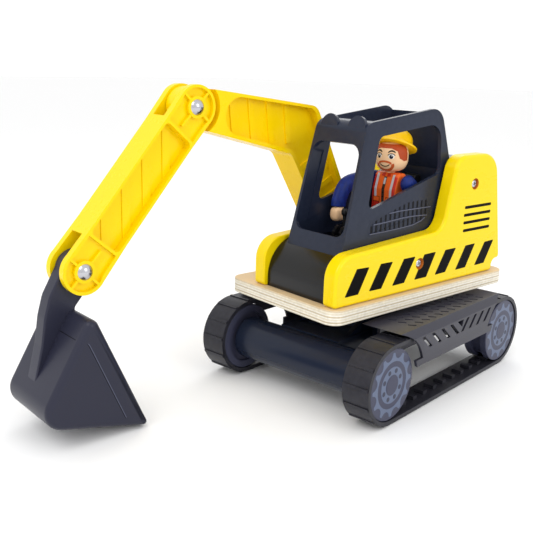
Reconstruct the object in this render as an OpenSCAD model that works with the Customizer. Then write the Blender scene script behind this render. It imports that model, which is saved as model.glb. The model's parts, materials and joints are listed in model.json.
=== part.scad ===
// Toy excavator: a plywood deck on moulded crawler tracks, two painted side
// panels, a moulded cab with a seated driver, and a boom, stick and bucket.
// Front of the machine is -Y, its left side is +X, ground is z = 0 and the
// slewing axis is the Z axis. Everything above the turntable is drawn square
// to the machine and turned by slew.

/* [Stance] */
// Angle of the upper structure on the turntable, degrees
slew = -7.2; // [-30:0.1:30]
// Turn of the driver's head, degrees
head_turn = 15; // [-20:1:20]

/* [Crawler] */
// Distance between front and rear axles
wheel_base = 161.6; // [150:0.1:170]
// Outer radius of the belt round a wheel, over the cleats
belt_r = 29.6; // [29.6:0.1:29.6]
// Wheel radius
wheel_r = 25.5; // [25:0.1:25.6]
// Width of a crawler belt
belt_w = 21.2; // [20:0.1:21.2]
// Distance from the centre plane to a belt's outer edge
belt_out = 78; // [78:0.1:78]
// Cleats on each belt
cleats = 36; // [24:2:40]
// Axle radius
axle_r = 2.5; // [2:0.1:3]

/* [Deck] */
// Deck width
deck_w = 113.7; // [112:0.1:115]
// Deck thickness
deck_t = 10.8; // [10:0.1:10.8]
// Height of the deck's underside
deck_z = 67.56; // [67.56:0.01:68]

/* [Body] */
// Side panel thickness
panel_t = 11.5; // [10:0.1:11.5]
// Wall thickness of the cab
cab_wall = 3; // [2.5:0.1:3.5]

/* [Arm] */
// Thickness of the boom and the stick
arm_t = 23.6; // [23:0.1:24]
// Thickness of a hinge tongue
tongue_t = 11.6; // [11:0.1:11.6]
// Rivet radius
rivet_r = 3; // [2.5:0.1:3.5]
// Depth of the ribbed side pockets
pocket_d = 7; // [5:0.5:8]
// Width of the bucket
bucket_w = 59; // [54:1:60]

/* [Hidden] */
e = 0.01;
deck_top = deck_z + deck_t;
wheel_z = belt_r;
xi = belt_out - belt_w;
body_l = 41.5;            // inner face of the left panel
body_r = -20.2;           // inner face of the right panel
arm_x = -44;              // centre plane of boom, stick and bucket
slot_t = tongue_t + 1.4;
boom_y = 4;    boom_z = 97;
elbow_y = -147.2; elbow_z = 208.4;
buck_y = -233.4;  buck_z = 107.6;
seat_z = 122;
lever_y = -42; lever_z = 119; lever_x = 8;

slate = [0.17, 0.18, 0.21];
yellow = [0.98, 0.85, 0.06];
gold = [0.98, 0.78, 0.02];
steel = [0.75, 0.75, 0.76];

// ---- helpers -------------------------------------------------------------
// A polygon's corners [x, y, radius] rounded with n-step arcs.
function unit(v) = v / norm(v);
function wrap(a) = ((a % 360) + 540) % 360 - 180;
function corner(a, p, b, n) = let (q = [p[0], p[1]], u = unit([a[0], a[1]] - q), w = unit([b[0], b[1]] - q),
    r = p[2], h = acos(max(-1, min(1, u * w))) / 2)
  (r <= 0 || h > 89.5) ? [q] :
  let (c = q + unit(u + w) * r / sin(h), s = q + u * r / tan(h), f = q + w * r / tan(h),
    a0 = atan2(s[1] - c[1], s[0] - c[0]), d = wrap(atan2(f[1] - c[1], f[0] - c[0]) - a0))
  [for (k = [0:n]) c + r * [cos(a0 + d * k / n), sin(a0 + d * k / n)]];
function rounded(v, n = 6) = let (m = len(v))
  [for (i = [0:m - 1]) each corner(v[(i + m - 1) % m], v[i], v[(i + 1) % m], n)];
// Extrude a side profile drawn as (y, z) from x0 to x1.
module ext_x(x0, x1) translate([x0, 0, 0]) rotate([90, 0, 90]) linear_extrude(x1 - x0) children();
module rod_x(x0, x1, y, z, r) translate([x0, y, z]) rotate([0, 90, 0]) cylinder(r = r, h = x1 - x0, $fn = 72);
module ring_x(x0, x1, y, z, r, ri) difference() {
  rod_x(x0, x1, y, z, r);
  rod_x(x0 - 1, x1 + 1, y, z, ri);
}
module box(a, b) translate(a) cube(b - a);
module upper() rotate([0, 0, slew]) children();
module flip(s) if (s > 0) children(); else mirror([1, 0, 0]) children();

// ---- crawler ---------------------------------------------------------------
module chassis() color(slate) difference() {
  union() {
    for (s = [-1, 1]) {
      rod_x(-55.6, 55.6, s * wheel_base / 2, wheel_z, 16);
      box([-43.9, s > 0 ? 8 : -30, 33], [43.9, s > 0 ? 30 : -8, 46]);
      for (t = [-1, 1]) ext_x(t * 24 - 2, t * 24 + 2)
        polygon([[s * 20, 40], [s * 20, 60], [s * 34, 60], [s * 74, 40]]);
    }
    box([-27, -76, 20], [27, 76, 46]);
    translate([0, 0, 40]) cylinder(r = 42, h = 13, $fn = 96);
    translate([0, 0, 52]) cylinder(r = 30, h = 9, $fn = 96);
    translate([0, 0, 60]) cylinder(r = 19, h = 6.7, $fn = 72);
  }
  for (s = [-1, 1]) rod_x(-60, 60, s * wheel_base / 2, wheel_z, axle_r + 0.05);
  translate([0, 0, 30]) cylinder(r = 3.05, h = 60, $fn = 48);
  translate([0, 0, 10]) cylinder(r = 9, h = 26, $fn = 48);
  for (s = [-1, 1]) box([-23, s > 0 ? 14 : -66, 10], [23, s > 0 ? 66 : -14, 42]);
}

module track_cover(s) color([0.22, 0.23, 0.27]) flip(s) difference() {
  union() {
    rotate([90, 0, 0]) translate([0, 0, -72]) linear_extrude(144) polygon([[44, 61], [44, 63.2], [76.4, 63.2],
      [80.8, 58.4], [80.8, 36.5], [78.7, 36.5], [78.7, 58.6], [75.5, 61]]);
    box([44, -52, 30], [46.2, 52, 62]);
    for (y = [-51, -17, 17, 49]) box([46, y, 59.9], [74, y + 2, 61.5]);
  }
  for (t = [-1, 1]) {
    intersection() {
      rod_x(43, 90, t * wheel_base / 2, wheel_z, 34.6);
      box([40, -100, 41.5], [90, 100, 80]);
    }
    rod_x(43, 90, t * wheel_base / 2, wheel_z, 26.3);
  }
  // leaning slots and the small triangle in the skirt
  for (k = [0:3]) ext_x(77, 84) polygon([[-40.6 + 12.9 * k, 47.6], [-36.6 + 12.9 * k, 47.6], [-47.6 + 12.9 * k, 57], [-51.6 + 12.9 * k, 57]]);
  ext_x(77, 84) polygon([[-1.8, 57], [7.4, 57], [5.6, 51.6]]);
  for (k = [0:4]) ext_x(77, 84) polygon([[4.6 + 12.6 * k * 0.92, 47.6], [8.4 + 12.6 * k * 0.92, 47.6], [16.4 + 12.6 * k * 0.92, 57], [12.6 + 12.6 * k * 0.92, 57]]);
  // three rows of short slots in the top
  for (row = [0:2], k = [0:11]) translate([54.2 + 8.2 * row, -49 + 9 * k, 60])
    rotate([0, 0, 35]) translate([-3, -1, 0]) cube([6, 2, 6]);
}

function tread(u) = let (s = wheel_base, q = PI * (belt_r - 0.8))
  u < s ? [u - s / 2, 0, 0] :
  u < s + q ? [s / 2, 0, 180 * (u - s) / q] :
  u < 2 * s + q ? [s / 2 - (u - s - q), 0, 180] : [-s / 2, 0, 180 + 180 * (u - 2 * s - q) / q];

module loop2d(r) {
  for (t = [-1, 1]) translate([t * wheel_base / 2, wheel_z]) circle(r = r, $fn = 96);
  translate([-wheel_base / 2, wheel_z - r]) square([wheel_base, 2 * r]);
}
module belt(s) color([0.10, 0.10, 0.11]) flip(s) {
  total = 2 * wheel_base + 2 * PI * (belt_r - 0.8);
  difference() {
    union() {
      ext_x(xi, belt_out) loop2d(belt_r - 0.7);
      for (k = [0:cleats - 1]) let (p = tread((k + 0.5) * total / cleats)) ext_x(xi + 0.6, belt_out - 0.6)
        translate([p[0], wheel_z]) rotate(p[2]) translate([-1.1, -belt_r]) square([2.2, 2]);
    }
    ext_x(xi - 1, belt_out + 1) loop2d(wheel_r + 0.4);
  }
  for (k = [0:cleats - 1]) let (p = tread(k * total / cleats)) ext_x(xi + 6.6, belt_out - 6.6)
    translate([p[0], wheel_z]) rotate(p[2]) translate([-2.4, -wheel_r - 0.8]) square([4.8, 3.2]);
}

module wheel(s, y) color(slate) flip(s) translate([0, y, wheel_z]) rotate([0, 90, 0]) difference() {
  rotate_extrude($fn = 120) polygon([[0, xi + 0.5], [8, xi + 0.5], [8, xi + 3], [20, xi + 3], [20, xi + 0.5],
    [wheel_r - 0.6, xi + 0.5], [wheel_r, xi + 1.1], [wheel_r, xi + 6], [22.2, xi + 6], [22.2, belt_out - 6],
    [wheel_r, belt_out - 6], [wheel_r, belt_out - 1.2], [wheel_r - 0.6, belt_out - 0.7],
    [7.4, belt_out - 0.7], [6.9, belt_out - 0.3], [0, belt_out - 0.3]]);
  translate([0, 0, xi - 1]) cylinder(r = axle_r + 0.05, h = belt_w - 1.8, $fn = 48);
}

module front_axle() color(steel) rod_x(-75, 75, -wheel_base / 2, wheel_z, axle_r);
module rear_axle() color(steel) rod_x(-75, 75, wheel_base / 2, wheel_z, axle_r);

module washer(z0, z1, r, ri) translate([0, 0, z0]) difference() {
  cylinder(r = r, h = z1 - z0, $fn = 72);
  translate([0, 0, -1]) cylinder(r = ri, h = z1 - z0 + 2, $fn = 48);
}
module thrust_washer() color("white") washer(66.7, 67.5, 17, 3.4);
module turntable_washer() color(steel) washer(deck_top + 0.1, deck_top + 1.1, 8, 3.4);
module turntable_bolt() color(steel) {
  translate([0, 0, 31]) cylinder(r = 3, h = deck_top + 1.2 - 31, $fn = 48);
  translate([0, 0, deck_top + 1.15]) cylinder(r = 5.6, h = 3.4, $fn = 6);
}
module turntable_nut() color(steel) translate([0, 0, 31.5]) difference() {
  cylinder(r = 6, h = 4.5, $fn = 6);
  translate([0, 0, -1]) cylinder(r = 3.05, h = 8, $fn = 48);
}

// ---- upper structure ---------------------------------------------------------
deck_y0 = -98.7; deck_y1 = 101.8;
deck_screw = [[-10, -60], [30, -60], [-10, 20], [30, 20], [-10, 66], [30, 66]];
bracket_screw = [[arm_x, -22], [arm_x, 26]];
module deck() color([0.87, 0.74, 0.55]) upper() difference() {
  translate([0, 0, deck_z]) linear_extrude(deck_t) polygon(rounded([[-deck_w / 2, deck_y0, 10], [deck_w / 2, deck_y0, 10],
    [deck_w / 2, deck_y1, 10], [-deck_w / 2, deck_y1, 10]], 8));
  translate([0, 0, deck_z - 1]) cylinder(r = 3.05, h = deck_t + 2, $fn = 48);
  for (p = concat(deck_screw, bracket_screw)) translate([p[0], p[1], deck_z]) {
    translate([0, 0, -1]) cylinder(r = 1.65, h = deck_t + 2, $fn = 24);
    translate([0, 0, -1]) cylinder(r = 3.9, h = 3.4, $fn = 32);
  }
}

panel_pts = [[-95.2, deck_top, 1], [-95.2, 113.6, 17], [18.4, 120, 13], [30.6, 175, 13],
  [81.4, 175, 19], [98.7, 87.6, 1], [88.8, 87.2, 5], [88.6, deck_top, 0]];
screw_pts = [[-6.7, 97.9], [54.4, 152.4]];
module side_panel(x0, out) color(yellow) upper() difference() {
  ext_x(x0, x0 + panel_t) polygon(rounded(panel_pts, 8));
  for (p = screw_pts) {
    rod_x(x0 - 1, x0 + panel_t + 1, p[0], p[1], 1.65);
    if (out > 0) rod_x(x0 + panel_t - 2.6, x0 + panel_t + 1, p[0], p[1], 4.4);
    else rod_x(x0 - 1, x0 + 2.6, p[0], p[1], 4.4);
  }
}
module left_side_panel() side_panel(body_l, 1);
module right_side_panel() side_panel(body_r - panel_t, -1);

module bonnet2d() polygon(rounded([[-91.7, deck_top, 0], [-91.7, 114, 28], [39.8, 114, 0], [39.8, deck_top, 0]], 14));
module screw_holes(p, l) for (x = [body_r - 1, body_l + 1 - l]) rod_x(x, x + l, p[0], p[1], 1.65);
module bonnet_block() color([0.10, 0.10, 0.11]) upper() difference() {
  ext_x(body_r, body_l) bonnet2d();
  translate([0, 0, deck_top - 1]) cylinder(r = 9, h = 7, $fn = 48);
  screw_holes(screw_pts[0], 14);
  for (p = [for (q = deck_screw) if (q[1] < 40) q]) translate([p[0], p[1], deck_top - 1]) cylinder(r = 1.65, h = 12, $fn = 24);
}
module rear_block() color([0.10, 0.10, 0.11]) upper() difference() {
  ext_x(body_r, body_l) polygon(rounded([[40, deck_top, 0], [40, 171, 5], [77, 171, 16], [94.5, 84, 4], [94, deck_top + 0.1, 0], [60, deck_top, 0]], 8));
  screw_holes(screw_pts[1], 14);
  for (p = [for (q = deck_screw) if (q[1] > 40) q]) translate([p[0], p[1], deck_top - 1]) cylinder(r = 1.65, h = 12, $fn = 24);
}

cab_l = 40.9; cab_r = -14.4;
cab_pts = [[-79.3, 105, 0], [-56.8, 200.3, 9], [24.2, 210, 13], [39.5, 164, 6], [39.5, 105, 0]];
cab_in = [[-75.6, 108, 0], [-54.3, 197, 5], [22, 206, 9], [36.2, 163, 4], [36.2, 108, 0]];
front_tilt = atan(0.2365);
// half-space cuts that give the side walls their slight lean
module lean_l(x) translate([x, -200, 110]) rotate([0, -1.4, 0]) translate([0, 0, -20]) cube([60, 400, 140]);
module lean_r(x) translate([x, -200, 110]) rotate([0, 3, 0]) translate([-60, 0, -20]) cube([60, 400, 140]);
module side_window(x0, x1) ext_x(x0, x1) polygon(rounded([[-53.4, 139.6, 4], [-43.4, 190.8, 6], [25, 198.6, 12], [27, 161.2, 5]], 6));
module cab_shell() color(slate) upper() {
  difference() {
    ext_x(cab_r, cab_l) polygon(rounded(cab_pts, 8));
    lean_l(cab_l); lean_r(cab_r);
    ext_x(body_r, body_l) translate([0, 0.05]) bonnet2d();
    box([-60, -100, 90], [60, 60, 108]);
    difference() {
      ext_x(cab_r + cab_wall, cab_l - cab_wall) polygon(rounded(cab_in, 8));
      lean_l(cab_l - cab_wall); lean_r(cab_r + cab_wall);
    }
    side_window(cab_l - 6, cab_l + 5);
    side_window(cab_r - 5, cab_r + 8);
    // windscreen opening, narrower at the foot
    translate([0, -77.3, 110]) rotate([-front_tilt, 0, 0]) translate([0, 10, 0]) rotate([90, 0, 0])
      linear_extrude(24) polygon(rounded([[-11, 12.6, 7], [-8.6, 77.6, 9], [36.8, 77.6, 9], [37.9, 12.6, 7]], 6));
    // open roof between the side rails
    box([cab_r + 5.9, -47.4, 190], [cab_l - 5.6, 23.8, 220]);
    // embossed grille lines on both lower sides
    for (k = [0:11]) ext_x(cab_l - 0.6, cab_l + 4) translate([-48 + 5.6 * k, 123.5 + 0.8 * k]) square([1, 8 + 0.9 * k]);
    for (k = [0:2]) ext_x(cab_l - 0.6, cab_l + 4) polygon([[-50, 123 + 6.5 * k], [16, 132.4 + 6.5 * k], [16, 133.2 + 6.5 * k], [-50, 123.8 + 6.5 * k]]);
  }
  // two half-round lamp visors on the header
  for (x = [2.2, 28.6]) translate([x, -54.6, 196.4]) rotate([-front_tilt, 0, 0]) difference() {
    rotate([90, 0, 0]) cylinder(r = 8.2, h = 2.6, $fn = 64);
    translate([-10, -5, -20]) cube([20, 10, 18]);
  }
}

module seat() color([0.13, 0.13, 0.15]) upper()
  ext_x(5, 21.8) polygon(rounded([[-6, 114, 0], [-6, seat_z, 3], [14.5, seat_z, 2], [19, 158, 3], [27, 158, 3], [27, 114, 0]], 4));
module lever_console() color([0.13, 0.13, 0.15]) upper() difference() {
  ext_x(lever_x - 4.6, lever_x + 4.6) polygon(rounded([[-50, 114, 0], [-50, 119, 2], [-46, 123, 2], [-38, 123, 2], [-34, 119, 2], [-34, 114, 0]], 4));
  box([lever_x - 2.2, -54, 116], [lever_x + 2.2, -30, 130]);
  rod_x(lever_x - 4, lever_x + 4, lever_y, lever_z, 1.05);
}
module control_lever() color([0.06, 0.06, 0.07]) upper() {
  difference() {
    union() {
      rod_x(lever_x - 1.8, lever_x + 1.8, lever_y, lever_z, 2.6);
      translate([lever_x, lever_y, lever_z]) cylinder(r = 1.4, h = 15, $fn = 32);
      translate([lever_x, lever_y, lever_z + 14]) rotate_extrude($fn = 40) polygon([[0, -2.8], [1.6, -2.8], [2.7, -1], [2.7, 1], [1.6, 2.8], [0, 2.8]]);
    }
  }
  rod_x(lever_x - 3.9, lever_x + 3.9, lever_y, lever_z, 1.0);
}

// a Phillips wood screw along +X, its head's top at x = 0
module screw_body(l) difference() {
  rotate([0, 90, 0]) union() {
    translate([0, 0, -1.8]) cylinder(r = 3.7, h = 1.6, $fn = 48);
    translate([0, 0, -l]) cylinder(r = 1.6, h = l - 1, $fn = 32);
    translate([0, 0, -l - 2]) cylinder(r1 = 0.3, r2 = 1.6, h = 2.01, $fn = 32);
  }
  for (a = [0, 90]) rotate([a + 20, 0, 0]) translate([-1.2, -2.2, -0.45]) cube([2, 4.4, 0.9]);
}
module panel_screws() color(steel) upper() for (p = screw_pts) {
  translate([body_l + panel_t - 0.7, p[0], p[1]]) screw_body(20);
  translate([body_r - panel_t + 0.7, p[0], p[1]]) mirror([1, 0, 0]) screw_body(20);
}
module deck_screws() color(steel) upper() for (p = concat(deck_screw, bracket_screw))
  translate([p[0], p[1], deck_z + 0.25]) rotate([0, 90, 0]) screw_body(17);

// ---- arm -----------------------------------------------------------------------
ax0 = arm_x - arm_t / 2; ax1 = arm_x + arm_t / 2;
module boom_bracket() color(gold) upper() difference() {
  union() {
    for (x = [ax0 - 0.6, arm_x + slot_t / 2]) ext_x(x, x + (arm_t - slot_t) / 2 + (x < arm_x ? 0.6 : 0))
      polygon(rounded([[-27, deck_top, 0], [-27, deck_top + 6, 2], [-14, 97, 6], [-13, 114, 15], [21, 114, 15], [22, 97, 6], [31, deck_top + 6, 2], [31, deck_top, 0]], 6));
    box([ax0 - 0.6, -30, deck_top], [ax1, 34, deck_top + 2.2]);
  }
  rod_x(ax0 - 5, ax1 + 5, boom_y, boom_z, rivet_r + 0.04);
  for (p = bracket_screw) translate([p[0], p[1], deck_top - 1]) cylinder(r = 1.65, h = 12, $fn = 24);
}
module rivet(y, z, x0, x1) {
  rod_x(x0, x1, y, z, rivet_r);
  for (s = [0, 1]) translate([s ? x1 : x0, y, z]) rotate([0, s ? 90 : -90, 0]) intersection() {
    translate([0, 0, -3.6]) sphere(r = 6.4, $fn = 64);
    cylinder(r = 10, h = 6, $fn = 48);
  }
}
module boom_pin() color(steel) upper() {
  rod_x(ax0 - 0.65, ax1 - 0.5, boom_y, boom_z, rivet_r);
  translate([ax0 - 0.65, boom_y, boom_z]) rotate([0, -90, 0]) intersection() {
    translate([0, 0, -3.6]) sphere(r = 6.4, $fn = 64);
    cylinder(r = 10, h = 6, $fn = 48);
  }
}
module washers(y, z, r) for (s = [-1, 1]) let (x = arm_x + s * (tongue_t / 2 + 0.35)) ring_x(x - 0.3, x + 0.3, y, z, r, rivet_r + 0.1);
module boom_washers() color("white") upper() washers(boom_y, boom_z, 8);
module elbow_washers() color("white") upper() washers(elbow_y, elbow_z, 8);
module bucket_washers() color("white") upper() washers(buck_y, buck_z, 8);

function arc(y, z, r, a0, a1) = [for (k = [0:24]) let (a = a0 + (a1 - a0) * k / 24) [y + r * cos(a), z + r * sin(a), 0]];
boom_pts = concat(arc(elbow_y, elbow_z, 13.5, 83.2, 256.2), [[-60.4, 172.6, 8]], arc(boom_y, boom_z, 15.8, 214.5, 385), [[-35.2, 207.6, 11]]);
module both_sides() for (m = [0, 1]) translate([arm_x, 0, 0]) mirror([m, 0, 0]) translate([-arm_x, 0, 0]) children();
floor_x = ax1 - pocket_d;
module boom_arm() color(gold) upper() difference() {
  ext_x(ax0 + 0.2, ax1 - 0.2) polygon(rounded(boom_pts, 8));
  // tongues at the elbow and at the foot
  both_sides() {
    rod_x(arm_x + tongue_t / 2, ax1 + 5, elbow_y, elbow_z, 19);
    rod_x(arm_x + tongue_t / 2, ax1 + 5, boom_y, boom_z, 20);
  }
  rod_x(ax0 - 5, ax1 + 5, elbow_y, elbow_z, rivet_r + 0.04);
  rod_x(ax0 - 5, ax1 + 5, boom_y, boom_z, rivet_r + 0.04);
  // corrugated pockets in both side faces
  both_sides() difference() {
    ext_x(floor_x, ax1 + 1) polygon(rounded([[-123, 216.6, 13], [-38.4, 205.8, 9], [8, 116.4, 6], [-17, 108.6, 6], [-59, 175.6, 8], [-123, 191, 13]], 8));
    for (k = [0:3]) ext_x(floor_x - 1, floor_x + 1) translate([-112 + 17 * k, 180]) rotate(7) square([5, 60]);
    for (k = [0:4]) ext_x(floor_x - 1, floor_x + 1) translate([-60, 150 - 13.5 * k]) rotate(27) square([80, 4.4]);
  }
}

stick_a = atan2(elbow_y - buck_y, elbow_z - buck_z);
stick_l = norm([elbow_y - buck_y, elbow_z - buck_z]);
// stick drawn upright from the bucket pin, then leaned into place
module lean_stick() translate([0, buck_y, buck_z]) rotate([-stick_a, 0, 0]) children();
module stick_arm() color(yellow) upper() lean_stick() difference() {
  union() {
    ext_x(ax0, ax1) {
      translate([0, 0]) circle(r = 15.2, $fn = 96);
      translate([0, stick_l]) circle(r = 15, $fn = 96);
      polygon([[-15.1, 0], [15.1, 0], [14.2, 30], [14.2, stick_l - 24], [14.9, stick_l], [-14.9, stick_l], [-14.2, stick_l - 24], [-14.2, 30]]);
    }
  }
  rod_x(ax0 - 5, ax1 + 5, 0, 0, rivet_r + 0.04);
  rod_x(ax0 - 5, ax1 + 5, 0, stick_l, rivet_r + 0.04);
  // fork slots for the tongues of the bucket and the boom
  box([arm_x - slot_t / 2, -30, -30], [arm_x + slot_t / 2, 30, 19]);
  box([arm_x - slot_t / 2, -30, stick_l - 19], [arm_x + slot_t / 2, 30, stick_l + 30]);
  // corrugated pocket, and a spoked recess round each boss, in both side faces
  both_sides() {
    difference() {
      ext_x(floor_x, ax1 + 1) polygon(rounded([[-12.4, 22, 3], [12.4, 22, 3], [12.4, stick_l - 22, 3], [-12.4, stick_l - 22, 3]], 5));
      for (k = [0:3]) ext_x(floor_x - 1, floor_x + 0.9) translate([0, 28 + 24 * k]) rotate(stick_a) translate([-3, -40]) square([6, 80]);
    }
    for (z = [0, stick_l]) difference() {
      ext_x(ax1 - 3, ax1 + 1) {
        translate([0, z]) circle(r = 13.1, $fn = 72);
        translate([-12.2, z > 0 ? z - 20 : 0]) square([24.4, 20]);
      }
      rod_x(ax1 - 4, ax1 + 2, 0, z, 7.4);
      for (r = [0, 90]) ext_x(ax1 - 5, ax1 - 0.4) translate([0, z]) rotate(r + 45 + stick_a) translate([-0.8, -17]) square([1.6, 34]);
    }
  }
}
module elbow_rivet() color(steel) upper() rivet(elbow_y, elbow_z, ax0 - 0.05, ax1 + 0.05);
module bucket_rivet() color(steel) upper() rivet(buck_y, buck_z, ax0 - 0.05, ax1 + 0.05);

bucket_x = -40.5;          // centre plane of the bucket
bucket_side = [[-239.4, 88, 5], [-199.4, 0, 2.5], [-280, 18.6, 13]];
module bucket_shell() color(slate) upper() difference() {
  union() {
    ext_x(bucket_x - bucket_w / 2, bucket_x + bucket_w / 2) polygon(rounded(bucket_side, 8));
    // neck rising to the pin
    ext_x(arm_x - tongue_t / 2, arm_x + tongue_t / 2) {
      translate([buck_y, buck_z]) circle(r = 12.6, $fn = 96);
      polygon(rounded([[-226, 98, 6], [-238, 84, 3], [-240, 60, 0], [-268, 38, 0], [-262, 62, 20], [-259.2, 80, 20], [-255.5, 93, 16], [-243.2, 114.6, 3], [-232, 112, 2]], 6));
    }
  }
  rod_x(ax0 - 5, ax1 + 5, buck_y, buck_z, rivet_r + 0.04);
  ext_x(bucket_x - bucket_w / 2 + 3, bucket_x + bucket_w / 2 - 3)
    polygon(rounded([[-240.2, 81, 3], [-190, 95, 0], [-190, 0.95, 0], [-275.2, 20.6, 10]], 6));
}

// ---- driver --------------------------------------------------------------------
dx = 13.6; dy = 0.4;
module driver_torso() color([0.93, 0.35, 0.10]) upper() difference() {
  ext_x(dx - 11.5, dx + 11.5) polygon(rounded([[dy - 7, seat_z + 0.1, 2], [dy - 8, 148, 4], [dy - 4, 160.5, 3], [dy + 5, 160.5, 3], [dy + 7.5, 148, 4], [dy + 7, seat_z + 0.1, 2]], 5));
  translate([dx, dy, 154]) cylinder(r = 3.05, h = 12, $fn = 40);
  rod_x(dx - 14, dx + 14, dy, 154, 2.05);
}
module driver_legs() color([0.12, 0.22, 0.50]) upper() {
  for (x = [dx - 5, dx + 5]) {
    ext_x(x - 4.2, x + 4.2) polygon(rounded([[dy - 7.4, seat_z + 0.1, 0], [dy - 7.4, seat_z + 9, 3], [-27, seat_z + 8, 3], [-32, 117, 2], [-32, 114.1, 0], [-24, 114.1, 1], [-22.5, seat_z - 1, 2], [-8, seat_z + 0.1, 0]], 4));
  }
}
function head2d(g) = concat([[0, -g], [5.4, -g]], [for (a = [-60:12:60]) [7 + g + 5.8 * cos(a), 11.7 + (11.2 + g) * sin(a)]], [[0, 22.6 + g]]);
module driver_head() color([0.93, 0.76, 0.60]) upper() translate([dx, dy, 0]) {
  translate([0, 0, 161]) rotate_extrude($fn = 72) polygon(head2d(0));
  translate([0, 0, 155]) cylinder(r = 3, h = 7, $fn = 40);
}
// hard hat with a full brim, tipped back
module driver_helmet() color(yellow) upper() translate([dx, dy, 0]) difference() {
  rotate([0, 0, head_turn]) translate([0, 3.8, 180]) rotate([-24, 0, 0]) {
    rotate_extrude($fn = 72) polygon([[0, -0.8], [16, -0.8], [17, -0.2], [17, 0.8], [13.4, 1.8], [12.6, 6], [10.2, 10], [5.6, 12.6], [0, 13.2]]);
    for (x = [-4, 0, 4]) ext_x(x - 0.9, x + 0.9) polygon(rounded([[-12.4, 2, 0], [-10.8, 10.4, 3], [-4, 14, 4], [4, 14, 4], [10.8, 10.4, 3], [12.4, 2, 0]], 4));
  }
  translate([0, 0, 161]) rotate_extrude($fn = 72) polygon(head2d(0.15));
}
// an arm bent at the elbow, pegged through the shoulder
module arm(s, elbow, hand) {
  sx = dx + s * 14.6;
  difference() {
    union() {
      hull() {
        translate([sx, dy, 154]) sphere(r = 6.8, $fn = 26);
        translate(elbow) sphere(r = 6.8, $fn = 26);
      }
      hull() {
        translate(elbow) sphere(r = 6.8, $fn = 26);
        translate(hand) sphere(r = 5.8, $fn = 26);
      }
    }
    box([dx - 11.7, -70, 100], [dx + 11.7, 70, 190]);
  }
  rod_x(s > 0 ? dx + 5 : sx, s > 0 ? sx : dx - 5, dy, 154, 2);
}
module driver_right_arm() color([0.10, 0.20, 0.52]) upper() arm(-1, [-1, -34.5, 150], [-1, -38.5, 130]);
module driver_left_arm() color([0.10, 0.20, 0.52]) upper() arm(1, [28.2, 12, 141], [28, -14, 131]);

chassis();
track_cover(1);  // left_track_cover
track_cover(-1);  // right_track_cover
belt(1);  // left_belt
belt(-1);  // right_belt
front_axle();
rear_axle();
wheel(1, -wheel_base / 2);  // front_left_wheel
wheel(-1, -wheel_base / 2);  // front_right_wheel
wheel(1, wheel_base / 2);  // rear_left_wheel
wheel(-1, wheel_base / 2);  // rear_right_wheel
thrust_washer();
turntable_bolt();
turntable_washer();
turntable_nut();
deck();
left_side_panel();
right_side_panel();
bonnet_block();
rear_block();
cab_shell();
seat();
lever_console();
control_lever();
panel_screws();
deck_screws();
boom_bracket();
boom_pin();
boom_washers();
boom_arm();
elbow_rivet();
elbow_washers();
stick_arm();
bucket_rivet();
bucket_washers();
bucket_shell();
driver_torso();
driver_legs();
driver_head();
driver_helmet();
driver_right_arm();
driver_left_arm();
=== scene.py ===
import bpy
import bmesh
import json
import math
from mathutils import Vector, Matrix

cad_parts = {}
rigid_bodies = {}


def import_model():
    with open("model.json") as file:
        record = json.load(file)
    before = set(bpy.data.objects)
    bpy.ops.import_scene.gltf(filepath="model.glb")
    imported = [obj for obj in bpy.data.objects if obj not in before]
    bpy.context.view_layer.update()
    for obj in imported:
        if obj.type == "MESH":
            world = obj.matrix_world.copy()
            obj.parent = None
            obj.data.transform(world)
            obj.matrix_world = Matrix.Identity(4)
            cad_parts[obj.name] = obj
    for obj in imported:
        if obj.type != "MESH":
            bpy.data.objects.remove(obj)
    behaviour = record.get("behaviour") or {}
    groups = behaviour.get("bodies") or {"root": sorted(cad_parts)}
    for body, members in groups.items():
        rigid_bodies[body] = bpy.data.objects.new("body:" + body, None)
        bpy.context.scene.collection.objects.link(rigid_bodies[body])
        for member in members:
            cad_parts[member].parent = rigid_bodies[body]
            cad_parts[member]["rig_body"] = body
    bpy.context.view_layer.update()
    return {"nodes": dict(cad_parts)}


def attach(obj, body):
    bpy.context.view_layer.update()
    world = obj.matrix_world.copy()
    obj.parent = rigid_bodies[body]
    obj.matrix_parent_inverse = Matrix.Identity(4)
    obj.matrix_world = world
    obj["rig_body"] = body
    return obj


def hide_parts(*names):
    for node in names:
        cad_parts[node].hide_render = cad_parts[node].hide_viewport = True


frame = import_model()
nodes = frame["nodes"]

SLEW = math.radians(-7.2)
CS, SN = math.cos(SLEW), math.sin(SLEW)


def U(x, y, z):
    """A point of the upper structure, in millimetres square to the machine."""
    return Vector(((x * CS - y * SN) / 1000, (x * SN + y * CS) / 1000, z / 1000))


def G(x, y, z):
    return Vector((x / 1000, y / 1000, z / 1000))


# ---- materials ---------------------------------------------------------------
def lin(r, g, b):
    def f(c):
        c = c / 255
        return c / 12.92 if c <= 0.04045 else ((c + 0.055) / 1.055) ** 2.4
    return (f(r), f(g), f(b), 1)


def scaled(c, k):
    return (min(1, c[0] * k), min(1, c[1] * k), min(1, c[2] * k), 1)


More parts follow.
